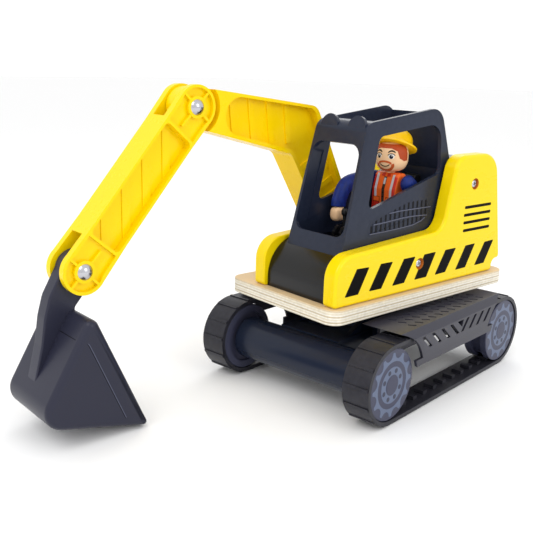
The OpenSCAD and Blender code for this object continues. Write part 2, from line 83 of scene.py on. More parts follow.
def finish(name, rgb, rough=0.45, metal=0.0, var=0.06, scale=45, bump=0.15, fine=1400,
           rvar=0.07, wear_and_edge_sheen=0.35, wear_and_sheen_tone=None, stretch=None, coat=0.0, spec=0.5, layers=None, glow=None):
    m = bpy.data.materials.new(name)
    m.use_nodes = True
    t = m.node_tree
    t.nodes.clear()
    out = t.nodes.new("ShaderNodeOutputMaterial")
    p = t.nodes.new("ShaderNodeBsdfPrincipled")
    t.links.new(p.outputs[0], out.inputs[0])
    base = lin(*rgb)
    p.inputs["Metallic"].default_value = metal
    p.inputs["Coat Weight"].default_value = coat
    p.inputs["Coat Roughness"].default_value = 0.15
    p.inputs["Specular IOR Level"].default_value = spec
    tc = t.nodes.new("ShaderNodeTexCoord")
    mp = t.nodes.new("ShaderNodeMapping")
    t.links.new(tc.outputs["Object"], mp.inputs["Vector"])
    if stretch:
        mp.inputs["Scale"].default_value = stretch
    n1 = t.nodes.new("ShaderNodeTexNoise")
    n1.inputs["Scale"].default_value = scale
    n1.inputs["Detail"].default_value = 6
    n1.inputs["Roughness"].default_value = 0.6
    t.links.new(mp.outputs[0], n1.inputs["Vector"])
    mix = t.nodes.new("ShaderNodeMix")
    mix.data_type = "RGBA"
    mix.inputs[6].default_value = scaled(base, 1 - var)
    mix.inputs[7].default_value = scaled(base, 1 + var)
    t.links.new(n1.outputs["Fac"], mix.inputs[0])
    colour = mix.outputs[2]
    if layers:
        z0, thick, tones = layers
        sep = t.nodes.new("ShaderNodeSeparateXYZ")
        t.links.new(tc.outputs["Object"], sep.inputs[0])
        wob = t.nodes.new("ShaderNodeMath")
        wob.operation = "MULTIPLY_ADD"
        t.links.new(n1.outputs["Fac"], wob.inputs[0])
        wob.inputs[1].default_value = 0.0006
        t.links.new(sep.outputs["Z"], wob.inputs[2])
        mr = t.nodes.new("ShaderNodeMapRange")
        mr.inputs["From Min"].default_value = z0
        mr.inputs["From Max"].default_value = z0 + thick
        t.links.new(wob.outputs[0], mr.inputs["Value"])
        ramp = t.nodes.new("ShaderNodeValToRGB")
        ramp.color_ramp.interpolation = "CONSTANT"
        els = ramp.color_ramp.elements
        k = len(tones)
        els[0].position = 0
        els[0].color = lin(*tones[0])
        els[1].position = 1 / k
        els[1].color = lin(*tones[1])
        for i in range(2, k):
            e = els.new(i / k)
            e.color = lin(*tones[i])
        t.links.new(mr.outputs[0], ramp.inputs[0])
        geo = t.nodes.new("ShaderNodeNewGeometry")
        sn = t.nodes.new("ShaderNodeSeparateXYZ")
        t.links.new(geo.outputs["Normal"], sn.inputs[0])
        ab = t.nodes.new("ShaderNodeMath")
        ab.operation = "ABSOLUTE"
        t.links.new(sn.outputs["Z"], ab.inputs[0])
        lt = t.nodes.new("ShaderNodeMath")
        lt.operation = "LESS_THAN"
        lt.inputs[1].default_value = 0.6
        t.links.new(ab.outputs[0], lt.inputs[0])
        m2 = t.nodes.new("ShaderNodeMix")
        m2.data_type = "RGBA"
        t.links.new(lt.outputs[0], m2.inputs[0])
        t.links.new(colour, m2.inputs[6])
        m3 = t.nodes.new("ShaderNodeMix")
        m3.data_type = "RGBA"
        m3.blend_type = "MULTIPLY"
        m3.inputs[0].default_value = 0.35
        t.links.new(ramp.outputs[0], m3.inputs[6])
        nf = t.nodes.new("ShaderNodeTexNoise")
        nf.inputs["Scale"].default_value = 420
        t.links.new(tc.outputs["Object"], nf.inputs["Vector"])
        t.links.new(nf.outputs["Fac"], m3.inputs[7])
        t.links.new(m3.outputs[2], m2.inputs[7])
        colour = m2.outputs[2]
    # convex edges (found by pointiness) are mixed toward a lighter tone: partly edge wear, partly a painted highlight
    # along the edges
    if wear_and_edge_sheen > 0:
        geo = t.nodes.new("ShaderNodeNewGeometry")
        r = t.nodes.new("ShaderNodeMapRange")
        r.inputs["From Min"].default_value = 0.53
        r.inputs["From Max"].default_value = 0.66
        t.links.new(geo.outputs["Pointiness"], r.inputs["Value"])
        n3 = t.nodes.new("ShaderNodeTexNoise")
        n3.inputs["Scale"].default_value = 260
        t.links.new(tc.outputs["Object"], n3.inputs["Vector"])
        mu = t.nodes.new("ShaderNodeMath")
        mu.operation = "MULTIPLY"
        t.links.new(r.outputs[0], mu.inputs[0])
        t.links.new(n3.outputs["Fac"], mu.inputs[1])
        mu2 = t.nodes.new("ShaderNodeMath")
        mu2.operation = "MULTIPLY"
        mu2.inputs[1].default_value = wear_and_edge_sheen * 1.6
        t.links.new(mu.outputs[0], mu2.inputs[0])
        mw = t.nodes.new("ShaderNodeMix")
        mw.data_type = "RGBA"
        t.links.new(mu2.outputs[0], mw.inputs[0])
        t.links.new(colour, mw.inputs[6])
        mw.inputs[7].default_value = lin(*wear_and_sheen_tone) if wear_and_sheen_tone else scaled(base, 1.5)
        colour = mw.outputs[2]
    t.links.new(colour, p.inputs["Base Color"])
    rr = t.nodes.new("ShaderNodeMapRange")
    rr.inputs["From Min"].default_value = 0.3
    rr.inputs["From Max"].default_value = 0.7
    rr.inputs["To Min"].default_value = max(0.03, rough - rvar)
    rr.inputs["To Max"].default_value = min(1, rough + rvar)
    t.links.new(n1.outputs["Fac"], rr.inputs["Value"])
    t.links.new(rr.outputs[0], p.inputs["Roughness"])
    n2 = t.nodes.new("ShaderNodeTexNoise")
    n2.inputs["Scale"].default_value = fine
    n2.inputs["Detail"].default_value = 3
    t.links.new(mp.outputs[0], n2.inputs["Vector"])
    b = t.nodes.new("ShaderNodeBump")
    b.inputs["Strength"].default_value = bump
    b.inputs["Distance"].default_value = 0.00012
    t.links.new(n2.outputs["Fac"], b.inputs["Height"])
    t.links.new(b.outputs[0], p.inputs["Normal"])
    m.diffuse_color = base
    return m


PLY = [(232, 222, 200), (246, 241, 226), (206, 190, 160), (248, 243, 230), (238, 228, 206), (249, 245, 233),
       (210, 194, 164), (248, 243, 230), (236, 226, 204), (244, 236, 216), (226, 208, 176)]
SL = dict(spec=0.24, rvar=0.02, scale=30)
M = {
    "slate_plastic": finish("slate_plastic", (28, 35, 52), 0.25, var=0.015, bump=0.2, wear_and_edge_sheen=0.06, wear_and_sheen_tone=(90, 94, 116), **SL),
    "bucket_plastic": finish("bucket_plastic", (40, 41, 56), 0.34, var=0.02, bump=0.22, wear_and_edge_sheen=0.1, wear_and_sheen_tone=(104, 106, 126), **SL),
    "cover_plastic": finish("cover_plastic", (50, 50, 60), 0.3, var=0.02, bump=0.22, wear_and_edge_sheen=0.1, wear_and_sheen_tone=(118, 118, 132), **SL),
    "belt_rubber": finish("belt_rubber", (26, 26, 33), 0.38, var=0.02, bump=0.28, fine=1100, wear_and_edge_sheen=0.1, wear_and_sheen_tone=(110, 110, 122), **SL),
    "steel": finish("steel", (190, 190, 196), 0.24, metal=1, var=0.04, bump=0.1, wear_and_edge_sheen=0, rvar=0.06),
    "wheel_plastic": finish("wheel_plastic", (60, 62, 82), 0.4, var=0.05, bump=0.2, wear_and_edge_sheen=0.3, wear_and_sheen_tone=(96, 98, 112), **SL),
    "nylon": finish("nylon", (226, 224, 214), 0.4, var=0.03, bump=0.1, wear_and_edge_sheen=0),
    "birch_ply": finish("birch_ply", (214, 188, 148), 0.5, var=0.1, scale=60, stretch=(1, 0.09, 1), bump=0.3, fine=900,
                        wear_and_edge_sheen=0.1, layers=(0.06756, 0.0108, PLY), spec=0.3),
    "yellow_paint": finish("yellow_paint", (236, 206, 0), 0.28, var=0.02, scale=50, stretch=(1, 0.12, 0.6), bump=0.08, fine=700,
                           wear_and_edge_sheen=0.05, wear_and_sheen_tone=(252, 226, 40), coat=0.1, spec=0.2),
    "black_paint": finish("black_paint", (5, 5, 7), 0.22, var=0.05, bump=0.1, stretch=(1, 0.15, 1), wear_and_edge_sheen=0.15, wear_and_sheen_tone=(44, 44, 50), spec=0.38, rvar=0.02),
    "black_plastic": finish("black_plastic", (14, 14, 17), 0.38, var=0.05, bump=0.2, wear_and_edge_sheen=0.3, wear_and_sheen_tone=(70, 70, 78), **SL),
    "golden_plastic": finish("golden_plastic", (246, 208, 0), 0.27, var=0.015, bump=0.08, fine=1500, wear_and_edge_sheen=0.05, wear_and_sheen_tone=(252, 222, 30), spec=0.2),
    "yellow_plastic": finish("yellow_plastic", (244, 210, 0), 0.27, var=0.015, bump=0.08, fine=1500, wear_and_edge_sheen=0.05, wear_and_sheen_tone=(252, 226, 40), spec=0.2),
    "orange_vest": finish("orange_vest", (236, 100, 32), 0.5, var=0.08, bump=0.2, wear_and_edge_sheen=0.1, spec=0.3),
    "blue_cloth_paint": finish("blue_cloth_paint", (13, 36, 108), 0.5, var=0.75, scale=320, bump=0.2, wear_and_edge_sheen=0.1, wear_and_sheen_tone=(50, 80, 150), spec=0.25),
    "doll_skin": finish("doll_skin", (232, 192, 150), 0.5, var=0.06, scale=120, stretch=(1, 1, 0.15), bump=0.2, wear_and_edge_sheen=0.05, spec=0.3),
    "helmet_yellow": finish("helmet_yellow", (248, 196, 4), 0.32, var=0.05, bump=0.1, wear_and_edge_sheen=0.12, wear_and_sheen_tone=(252, 222, 80), spec=0.35),
}
# prints on the toy, together with flat tones of painted shade and painted highlight: the dark cab tone, the lighter
# ridge tone, the shaded recess wood, the vest's red and the black in the screw crosses
PRINT_AND_PAINTED_LIGHT = {
    # black print; also laid on the screw heads as painted shade in the cross slots
    "stripe": finish("print_black_and_shade", (5, 4, 4), 0.4, var=0.08, bump=0.1, wear_and_edge_sheen=0, spec=0.05),
    "wheelprint": finish("print_bluegrey", (90, 101, 126), 0.4, var=0.05, bump=0.15, wear_and_edge_sheen=0, spec=0.3),
    "wheeldark": finish("print_dark", (54, 56, 74), 0.45, var=0.06, bump=0.15, wear_and_edge_sheen=0, spec=0.25),
    "cabdark": finish("cab_shadow", (16, 17, 24), 0.5, var=0.06, bump=0.15, wear_and_edge_sheen=0, spec=0.1),
    # lighter slate laid on ledges and ridges as painted highlight
    "ridge_highlight": finish("cab_ridge_highlight", (78, 82, 102), 0.36, var=0.04, bump=0.15, wear_and_edge_sheen=0, spec=0.3),
    # brown-orange of unpainted wood, darkened as painted shade
    "wood_in_shade": finish("raw_wood_shaded", (196, 112, 44), 0.6, var=0.2, scale=300, bump=0.3, wear_and_edge_sheen=0, spec=0.2),
    "hair": finish("print_ginger", (168, 66, 28), 0.5, var=0.12, scale=200, bump=0.2, wear_and_edge_sheen=0, spec=0.25),
    "beard": finish("print_beard", (190, 84, 38), 0.5, var=0.12, scale=200, bump=0.2, wear_and_edge_sheen=0, spec=0.25),
    "white": finish("print_white", (238, 232, 226), 0.45, var=0.02, bump=0.05, wear_and_edge_sheen=0, spec=0.3),
    "iris": finish("print_eye", (12, 14, 40), 0.3, var=0.1, bump=0.05, wear_and_edge_sheen=0, spec=0.3),
    "brow": finish("print_brow", (26, 14, 12), 0.4, var=0.1, bump=0.05, wear_and_edge_sheen=0, spec=0.2),
    "strap": finish("print_strap", (196, 196, 204), 0.35, var=0.04, bump=0.1, wear_and_edge_sheen=0, spec=0.3),
    # red: painted shade on the orange vest
    "vest_shade": finish("print_vest_shade", (196, 40, 24), 0.45, var=0.08, bump=0.1, wear_and_edge_sheen=0, spec=0.3),
    "line": finish("print_line", (88, 30, 12), 0.45, var=0.08, bump=0.1, wear_and_edge_sheen=0, spec=0.2),
    "zip": finish("print_zip", (54, 46, 40), 0.4, var=0.15, bump=0.2, wear_and_edge_sheen=0, spec=0.3),
}


# ---- geometry helpers ----------------------------------------------------------
def add(name, me, body, mat, replaces=()):
    o = bpy.data.objects.new(name, me)
    bpy.context.scene.collection.objects.link(o)
    me.materials.clear()
    me.materials.append(mat)
    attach(o, body)
    if replaces:
        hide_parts(*replaces)
    return o


def soften(me, angle=32):
    me.shade_smooth()
    me.set_sharp_from_angle(angle=math.radians(angle))


def weighted(o):
    w = o.modifiers.new("normals", "WEIGHTED_NORMAL")
    w.keep_sharp = True
    w.weight = 80


def mesh_from(name, verts, faces, P=G, angle=32):
    me = bpy.data.meshes.new(name)
    me.from_pydata([P(*v) for v in verts], [], faces)
    me.validate()
    bm = bmesh.new()
    bm.from_mesh(me)
    bmesh.ops.remove_doubles(bm, verts=bm.verts, dist=1e-6)
    bmesh.ops.recalc_face_normals(bm, faces=bm.faces)
    bm.to_mesh(me)
    bm.free()
    soften(me, angle)
    return me


def body_of(node):
    return nodes[node]["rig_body"]


def look(node, slot, w=0.4, seg=2, ang=28, minlen=0.5, skip=None, mat=None):
    """The CAD node's own shape with its coplanar triangles joined and its edges rounded."""
    me = nodes[node].data.copy()
    me.name = node + "_look"
    a = me.attributes.get("custom_normal")
    if a:
        me.attributes.remove(a)
    bm = bmesh.new()
    bm.from_mesh(me)
    bmesh.ops.remove_doubles(bm, verts=bm.verts, dist=2e-5)
    bmesh.ops.dissolve_limit(bm, angle_limit=math.radians(0.7), verts=bm.verts, edges=bm.edges)
    bmesh.ops.recalc_face_normals(bm, faces=bm.faces)
    if w > 0:
        pick = []
        for e in bm.edges:
            if len(e.link_faces) != 2 or e.calc_length() < minlen / 1000:
                continue
            try:
                if e.calc_face_angle() < math.radians(ang):
                    continue
            except ValueError:
                continue
            if skip and skip((e.verts[0].co + e.verts[1].co) * 500):
                continue
            pick.append(e)
        if pick:
            bmesh.ops.bevel(bm, geom=pick, offset=w / 1000, offset_type="OFFSET", segments=seg,
                            profile=0.5, affect="EDGES", clamp_overlap=True)
    bm.to_mesh(me)
    bm.free()
    soften(me, 40)
    o = add(node + "_look", me, body_of(node), mat or M[slot], (node,))
    weighted(o)
    return o


def rounded(poly, n=6):
    """Corners [x, y, r] to points, counter-clockwise."""
    pts = []
    m = len(poly)
    for i in range(m):
        a, p, b = Vector(poly[i - 1][:2]), Vector(poly[i][:2]), Vector(poly[(i + 1) % m][:2])
        r = poly[i][2]
        u, v = (a - p).normalized(), (b - p).normalized()
        h = math.acos(max(-1, min(1, u.dot(v)))) / 2
        if r <= 0 or h > math.radians(89.5):
            pts.append(p.copy())
            continue
        c = p + (u + v).normalized() * r / math.sin(h)
        s, f = p + u * r / math.tan(h), p + v * r / math.tan(h)
        a0 = math.atan2(s.y - c.y, s.x - c.x)
        d = math.atan2(f.y - c.y, f.x - c.x) - a0
        d = (d + math.pi) % (2 * math.pi) - math.pi
        for k in range(n + 1):
            pts.append(c + Vector((math.cos(a0 + d * k / n), math.sin(a0 + d * k / n))) * r)
    area = sum(pts[i - 1].x * pts[i].y - pts[i].x * pts[i - 1].y for i in range(len(pts)))
    if area < 0:
        pts.reverse()
    clean = []
    for p in pts:
        if not clean or (p - clean[-1]).length > 0.02:
            clean.append(p)
    if (clean[0] - clean[-1]).length < 0.02:
        clean.pop()
    return clean


def inset(pts, d):
    out = []
    m = len(pts)
    for i in range(m):
        a, p, b = pts[i - 1], pts[i], pts[(i + 1) % m]
        e1, e2 = (p - a).normalized(), (b - p).normalized()
        n1, n2 = Vector((-e1.y, e1.x)), Vector((-e2.y, e2.x))
        n = (n1 + n2).normalized()
        k = max(0.35, n.dot(n1))
        out.append(p + n * d / k)
    return out


def slab_mesh(name, pts, z0, z1, r0, r1, place, n=4):
    """A sheet z0 to z1 thick with this outline, its two rims rounded by r0 and r1."""
    rings = []
    for k in range(n + 1):
        a = math.pi / 2 * k / n
        rings.append((inset(pts, r0 * (1 - math.sin(a))), z0 + r0 * (1 - math.cos(a))))
    for k in range(n + 1):
        a = math.pi / 2 * k / n
        rings.append((inset(pts, r1 * (1 - math.cos(a))), z1 - r1 * (1 - math.sin(a))))
    m = len(pts)
    verts, faces = [], []
    for ring, z in rings:
        verts += [place(p.x, p.y, z) for p in ring]
    for j in range(len(rings) - 1):
        for i in range(m):
            a, b = j * m + i, j * m + (i + 1) % m
            faces.append((a, b, b + m, a + m))
    faces.append(tuple(range(m))[::-1])
    faces.append(tuple((len(rings) - 1) * m + i for i in range(m)))
    return mesh_from(name, [v for v in verts], faces, P=lambda *v: Vector(v), angle=50)


def side(x, y, z):
    """Profile (y, z) extruded along the machine's x."""
    return U(z, x, y)


def plan(x, y, z):
    return U(x, y, z)


def apply_cut(o, cutters):
    for c in cutters:
        m = o.modifiers.new("cut", "BOOLEAN")
        m.object = c
        m.operation = "DIFFERENCE"
        m.solver = "EXACT"
    dg = bpy.context.evaluated_depsgraph_get()
    me = bpy.data.meshes.new_from_object(o.evaluated_get(dg))
    o.modifiers.clear()
    old = o.data
    o.data = me
    mat = old.materials[0]
    me.materials.clear()
    me.materials.append(mat)
    for p in me.polygons:
        p.material_index = 0
    soften(me, 40)


def tube_mesh(name, path, radii, seg=20, caps=True, place=U, squash=1.0):
    """A round bar through these points."""
    P = [Vector(p) for p in path]
    verts, faces = [], []
    up = Vector((1, 0, 0))
    for i, p in enumerate(P):
        t = (P[min(i + 1, len(P) - 1)] - P[max(i - 1, 0)]).normalized()
        u = (up - t * up.dot(t)).normalized()
        v = t.cross(u)
        for k in range(seg):
            a = 2 * math.pi * k / seg
            q = p + u * math.cos(a) * radii[i] * squash + v * math.sin(a) * radii[i]
            verts.append(tuple(q))
    m = seg
    for j in range(len(P) - 1):
        for k in range(m):
            a, b = j * m + k, j * m + (k + 1) % m
            faces.append((a, b, b + m, a + m))
    if caps:
        faces.append(tuple(range(m))[::-1])
        faces.append(tuple((len(P) - 1) * m + i for i in range(m)))
    return mesh_from(name, verts, faces, P=place, angle=50)


def lathe_mesh(name, prof, seg, place, angle=50):
    """Profile (r, z) turned about z."""
    verts, faces = [], []
    for r, z in prof:
        for k in range(seg):
            a = 2 * math.pi * k / seg
            verts.append((r * math.cos(a), r * math.sin(a), z))
    for j in range(len(prof) - 1):
        for k in range(seg):
            a, b = j * seg + k, j * seg + (k + 1) % seg
            faces.append((a, b, b + seg, a + seg))
    if prof[0][0] > 1e-6:
        faces.append(tuple(range(seg))[::-1])
    if prof[-1][0] > 1e-6:
        faces.append(tuple((len(prof) - 1) * seg + i for i in range(seg)))
    return mesh_from(name, verts, faces, P=place, angle=angle)


def patch_mesh(name, pts, surf, step=1.0, thick=0.12):
    """A thin patch (print, painted shade, painted highlight): a flat outline (u, v) cut fine and laid on surf(u, v,
    height).
    """
    bm = bmesh.new()
    bm.faces.new([bm.verts.new((p[0], p[1], 0)) for p in pts])
    us, vs = [p[0] for p in pts], [p[1] for p in pts]
    for axis, lo, hi in ((0, min(us), max(us)), (1, min(vs), max(vs))):
        k = math.floor(lo / step) + 1
        while k * step < hi:
            co = [0, 0, 0]
            no = [0, 0, 0]
            co[axis] = k * step
            no[axis] = 1
            bmesh.ops.bisect_plane(bm, geom=bm.verts[:] + bm.edges[:] + bm.faces[:], plane_co=co, plane_no=no)
            k += 1
    bmesh.ops.triangulate(bm, faces=bm.faces[:])
    r = bmesh.ops.extrude_face_region(bm, geom=bm.faces[:])
    top = [g for g in r["geom"] if isinstance(g, bmesh.types.BMVert)]
    for v in top:
        v.co.z = 1
    for v in bm.verts:
        q = surf(v.co.x, v.co.y, thick if v.co.z > 0.5 else -0.15)
        v.co = q
    bmesh.ops.recalc_face_normals(bm, faces=bm.faces)
    me = bpy.data.meshes.new(name)
    bm.to_mesh(me)
    bm.free()
    soften(me, 40)
    return me


def ellipse(cx, cy, a, b, n=20, t0=0, t1=360):
    return [(cx + a * math.cos(math.radians(t0 + (t1 - t0) * k / n)), cy + b * math.sin(math.radians(t0 + (t1 - t0) * k / n)))
            for k in range(n if t1 - t0 >= 360 else n + 1)]


def band(line, w):
    """A strip of width w along a line of points."""
    L, R = [], []
    n = len(line)
    for i, p in enumerate(line):
        q = Vector(line[min(i + 1, n - 1)]) - Vector(line[max(i - 1, 0)])
        q.normalize()
        s = w[i] if isinstance(w, (list, tuple)) else w
        nrm = Vector((-q.y, q.x)) * s / 2
        L.append((p[0] + nrm.x, p[1] + nrm.y))
        R.append((p[0] - nrm.x, p[1] - nrm.y))
    return L + R[::-1]


# ---- crawler -------------------------------------------------------------------
look("chassis", "slate_plastic", 0.5, 2, minlen=1.5)
for s in ("left", "right"):
    look(s + "_track_cover", "cover_plastic", 0.35, 2, minlen=0.8)
    look(s + "_belt", "belt_rubber", 0.3, 2, minlen=0.8)
for n in ("front_axle", "rear_axle", "turntable_bolt", "turntable_washer", "turntable_nut", "boom_pin", "elbow_rivet", "bucket_rivet"):
    look(n, "steel", 0)
for n in ("thrust_washer", "boom_washers", "elbow_washers", "bucket_washers"):
    look(n, "nylon", 0)
look("deck_screws", "steel", 0)

WB, WZ, WR = 161.6, 29.6, 24.7
for wn, s, y in (("front_left", 1, -WB / 2), ("front_right", -1, -WB / 2), ("rear_left", 1, WB / 2), ("rear_right", -1, WB / 2)):
    look(wn + "_wheel", "wheel_plastic", 0)

    def face(u, v, h, s=s, y=y):
        return G(s * (77.3 + h), y + u, WZ + v)

    def disc_strip(name, r0, rf, seg, mat, h):
        verts, faces = [], []
        for k in range(seg):
            a = 2 * math.pi * k / seg
            for r, hh in ((r0, -0.1), (r0, h), (rf(a), h), (rf(a), -0.1)):
                verts.append(tuple(face(r * math.cos(a), r * math.sin(a), hh)))
        for k in range(seg):
            a, b = 4 * k, 4 * ((k + 1) % seg)
            for j in range(3):
                faces.append((a + j, b + j, b + j + 1, a + j + 1))
        me = mesh_from(name, verts, faces, P=lambda *v: Vector(v), angle=40)
        add(name, me, wn, mat)

    def sprocket(a):
        k = (a / (2 * math.pi) * 12) % 1
        d = abs(k - 0.5) * 2 * math.pi / 12 * WR
        return WR * 0.94 - (max(0, 1 - (d / 4.9) ** 2) ** 0.5 * 4.3 if d < 4.9 else 0)

    disc_strip(wn + "_print_sprocket", WR * 0.685, sprocket, 288, PRINT_AND_PAINTED_LIGHT["wheelprint"], 0.1)
    disc_strip(wn + "_print_ring", WR * 0.30, lambda a: WR * 0.528, 96, PRINT_AND_PAINTED_LIGHT["wheelprint"], 0.1)
    for k in range(8):
        a = 2 * math.pi * (k + 0.5) / 8
        me = patch_mesh(f"{wn}_print_hole_{k}", ellipse(WR * 0.415 * math.cos(a), WR * 0.415 * math.sin(a), 1.75, 1.75, 18),
                        face, 3, 0.16)
        add(f"{wn}_print_hole_{k}", me, wn, PRINT_AND_PAINTED_LIGHT["wheeldark"])

# ---- deck, panels, blocks ---------------------------------------------------------
look("deck", "birch_ply", 0.7, 2, minlen=1.3)
look("bonnet_block", "black_paint", 0.6, 2, minlen=1.2)
look("rear_block", "black_paint", 0.6, 2, minlen=1.2)

PANEL = [[-95.2, 78.4, 3.2], [-95.2, 113.6, 17], [18.4, 120, 13], [30.6, 175, 13],
         [81.4, 175, 19], [98.7, 87.6, 3.2], [88.8, 87.2, 5], [88.6, 78.4, 3.2]]
SCREWS = [(-6.7, 97.9), (54.4, 152.4)]
STRIPES = [[(-85.7, 85.6), (-72.3, 85.7), (-62.2, 103.7), (-74.8, 104.1)], [(-61.3, 86.0), (-48.5, 85.8), (-37.5, 104.0), (-50.3, 104.2)],
           [(-36.7, 85.8), (-23.4, 86.0), (-12.4, 104.2), (-25.4, 104.2)], [(-12.0, 86.3), (2.0, 86.4), (11.7, 104.5), (-2.0, 104.3)],
           [(12.3, 86.3), (25.2, 86.6), (36.6, 104.3), (23.4, 104.3)], [(37.9, 86.3), (50.9, 86.5), (61.4, 104.6), (48.9, 104.4)],
           [(63.0, 86.3), (76.0, 86.5), (86.7, 104.5), (74.5, 104.1)]]
VENTS = [(43.6, 78.2, 134.8), (43.2, 78.3, 128.8), (43.4, 78.4, 122.8), (43.7, 78.6, 116.6)]
outline = rounded(PANEL, 8)
for s, x0, x1 in (("left", 41.5, 53.0), ("right", -31.7, -20.2)):
    out = x1 if s == "left" else x0
    sg = 1 if s == "left" else -1
    cutters = []
    for k, (y, z) in enumerate(SCREWS):
        me = slab_mesh("cutter", [Vector((y + 4.4 * math.cos(2 * math.pi * i / 40), z + 4.4 * math.sin(2 * math.pi * i / 40))) for i in range(40)],
                       out - 2.5 * sg if sg > 0 else out - 3, out + 3 if sg > 0 else out + 2.5, 0.01, 0.01, side, 1)
        c = bpy.data.objects.new(f"cutter_{s}_{k}", me)
        bpy.context.scene.collection.objects.link(c)
        cutters.append(c)
    me = slab_mesh(s + "_panel", outline, x0, x1, 2.6 if sg < 0 else 1.2, 2.6 if sg > 0 else 1.2, side, 5)
    o = add(s + "_side_panel_look", me, "upper", M["yellow_paint"], (s + "_side_panel",))
    apply_cut(o, cutters)
    weighted(o)

    def wall(u, v, h, out=out, sg=sg):
        return U(out + sg * h, u, v)

    for k, q in enumerate(STRIPES):
        pts = [tuple(p) for p in rounded([[a, b, 0.5] for a, b in q], 3)]
        me = patch_mesh(f"{s}_stripe_{k}", pts, wall, 50, 0.05)
        o = add(f"{s}_stripe_{k}", me, "upper", PRINT_AND_PAINTED_LIGHT["stripe"])
        if k == 3:
            apply_cut(o, cutters)
    for k, (a, b, z) in enumerate(VENTS):
        pts = [tuple(p) for p in rounded([[a, z - 1.15, 0.9], [b, z - 1.15, 0.9], [b, z + 1.15, 0.9], [a, z + 1.15, 0.9]], 4)]
        me = patch_mesh(f"{s}_vent_{k}", pts, wall, 50, 0.05)
        add(f"{s}_vent_{k}", me, "upper", PRINT_AND_PAINTED_LIGHT["stripe"])
    # unpainted wood shows inside the screw recesses, its brown-orange darkened as painted shade
    for k, (y, z) in enumerate(SCREWS):
        verts, faces = [], []
        n = 40
        for i in range(n):
            a = 2 * math.pi * i / n
            for r, h in ((4.42, -0.05), (4.34, -0.05), (4.3, -2.35), (3.72, -2.4), (1.7, -2.4), (1.7, -2.48), (4.42, -2.48)):
                verts.append(tuple(wall(y + r * math.cos(a), z + r * math.sin(a), h)))
        m = 7
        for i in range(n):
            for j in range(m):
                faces.append((i * m + j, ((i + 1) % n) * m + j, ((i + 1) % n) * m + (j + 1) % m, i * m + (j + 1) % m))
        add(f"{s}_recess_{k}", mesh_from(f"{s}_recess_{k}", verts, faces, P=lambda *v: Vector(v)), "upper", PRINT_AND_PAINTED_LIGHT["wood_in_shade"])
    for c in cutters:
        bpy.data.objects.remove(c)

# wood screws: a small pan head in each recess, its cross slot drawn as a flat black patch of painted shade
verts, faces = [], []
for out, sg in ((53.0, 1), (-31.7, -1)):
    for y, z in SCREWS:
        prof = [(1.5, -9), (1.5, -2.4), (3.0, -2.1), (3.1, -1.7), (2.8, -1.1), (2.0, -0.75), (0.0, -0.65)]
        base = len(verts)
        n = 32
        for r, h in prof:
            for k in range(n):
                a = 2 * math.pi * k / n
                verts.append(tuple(U(out + sg * h, y + r * math.cos(a), z + r * math.sin(a))))
        for j in range(len(prof) - 1):
            for k in range(n):
                a, b = base + j * n + k, base + j * n + (k + 1) % n
                faces.append((a, b, b + n, a + n))
add("panel_screws_look", mesh_from("panel_screws", verts, faces, P=lambda *v: Vector(v), angle=60), "upper", M["steel"], ("panel_screws",))
for out, sg, nm in ((53.0, 1, "l"), (-31.7, -1, "r")):
    for q, (y, z) in enumerate(SCREWS):
        for t in (20, 110):
            c, d = math.cos(math.radians(t)), math.sin(math.radians(t))
            pts = [(y + c * a - d * b, z + d * a + c * b) for a, b in ((-1.6, -0.28), (1.6, -0.28), (1.6, 0.28), (-1.6, 0.28))]
            me = patch_mesh(f"cross_{nm}{q}_{t}", pts, lambda u, v, h, out=out, sg=sg: U(out + sg * (-0.78 + h), u, v), 50, 0.14)
            add(f"cross_{nm}{q}_{t}", me, "upper", PRINT_AND_PAINTED_LIGHT["stripe"])

# ---- cab -------------------------------------------------------------------------
CAB = rounded([[-79.3, 105, 0], [-56.8, 200.3, 9], [24.2, 210, 13], [39.5, 164, 6], [39.5, 105, 0]], 8)


def machine(c):
    """Row-frame millimetres to millimetres square to the upper structure."""
    return Vector((c.x * CS + c.y * SN, -c.x * SN + c.y * CS, c.z))


def on_line(y, z, pts, tol):
    p = Vector((y, z))
    for i in range(len(pts)):
        a, b = pts[i - 1], pts[i]
        d = b - a
        t = max(0, min(1, (p - a).dot(d) / d.dot(d)))
        if (a + d * t - p).length < tol:
            return True
    return False


def wall_x(z, h=0.0):
    return 40.9 - (z - 110) * math.tan(math.radians(1.4)) + h


def wall_xr(z, h=0.0):
    return -14.4 + (z - 110) * math.tan(math.radians(3)) - h


def outer_edge(c):
    q = machine(c)
    if q.z < 112 or not on_line(q.y, q.z, CAB, 0.35):
        return False
    return abs(q.x - wall_x(q.z)) < 0.4 or abs(q.x - wall_xr(q.z)) < 0.4


def grille(c):
    q = machine(c)
    return q.x > 37.5 and 119 < q.z < 150 and -52 < q.y < 20 and abs(q.z - (139.6 + (q.y + 53.4) * 0.2687)) > 1.5


